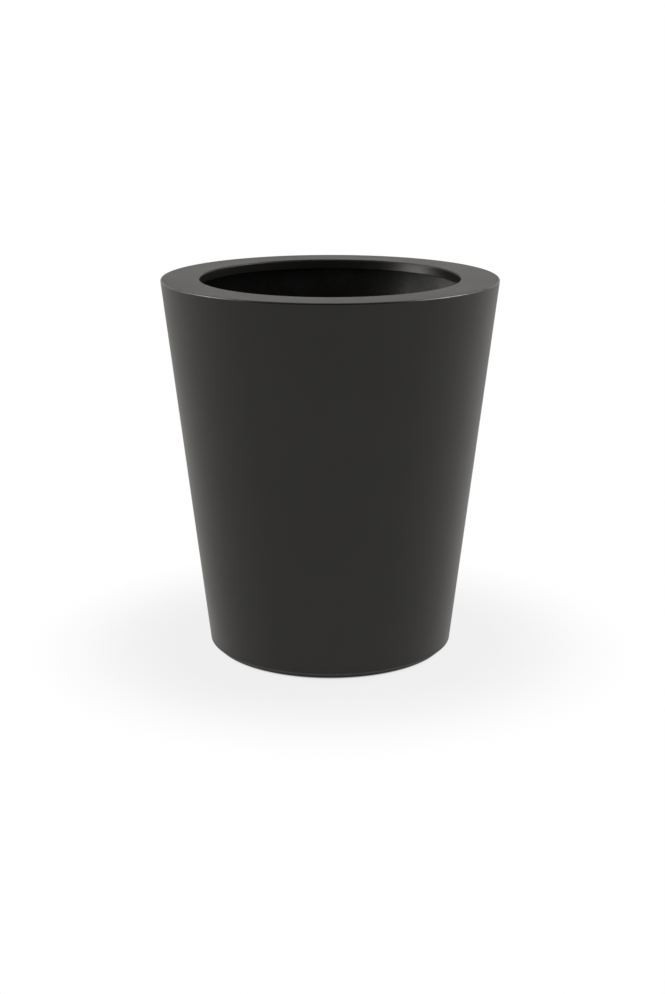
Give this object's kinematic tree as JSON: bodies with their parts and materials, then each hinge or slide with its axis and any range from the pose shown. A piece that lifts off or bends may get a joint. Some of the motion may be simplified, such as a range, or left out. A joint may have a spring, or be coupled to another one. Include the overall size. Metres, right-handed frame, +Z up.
{
  "type": "fiberglass planter",
  "caption": "Round tapered floor planter: hollow moulded shell with a flat rim and turned-down lip, stiffened floor with drain holes, pull-out rubber drain plugs and rubber foot pads.",
  "frame": {"origin": "on the ground under the middle of the planter, at the underside of the foot pads", "axes": "+Z up along the planter's axis, +X and +Y through the drain plugs"},
  "size_m": [0.6091, 0.6092, 0.69],
  "materials": {
    "gelcoat": "satin charcoal gelcoat over glass-fibre laminate",
    "floor_laminate": "plywood board laminated over and coated black",
    "resin_cove": "filled resin, black",
    "plug_rubber": "moulded black rubber",
    "pad_rubber": "matte black rubber"
  },
  "bodies": {
    "planter": {"outer_shell": "gelcoat", "floor_board": "floor_laminate", "floor_cove": "resin_cove", "foot_pad_1": "pad_rubber", "foot_pad_2": "pad_rubber", "foot_pad_3": "pad_rubber", "foot_pad_4": "pad_rubber"},
    "drain_plug_1": {"drain_plug_1": "plug_rubber"},
    "drain_plug_2": {"drain_plug_2": "plug_rubber"},
    "drain_plug_3": {"drain_plug_3": "plug_rubber"},
    "drain_plug_4": {"drain_plug_4": "plug_rubber"}
  },
  "joints": [
    {"name": "drain_plug_1_pull", "type": "slide", "parent": "planter", "child": "drain_plug_1", "axis": [0, 0, 1], "range_m": [0, 0.7]},
    {"name": "drain_plug_2_pull", "type": "slide", "parent": "planter", "child": "drain_plug_2", "axis": [0, 0, 1], "range_m": [0, 0.7]},
    {"name": "drain_plug_3_pull", "type": "slide", "parent": "planter", "child": "drain_plug_3", "axis": [0, 0, 1], "range_m": [0, 0.7]},
    {"name": "drain_plug_4_pull", "type": "slide", "parent": "planter", "child": "drain_plug_4", "axis": [0, 0, 1], "range_m": [0, 0.7]}
  ]
}
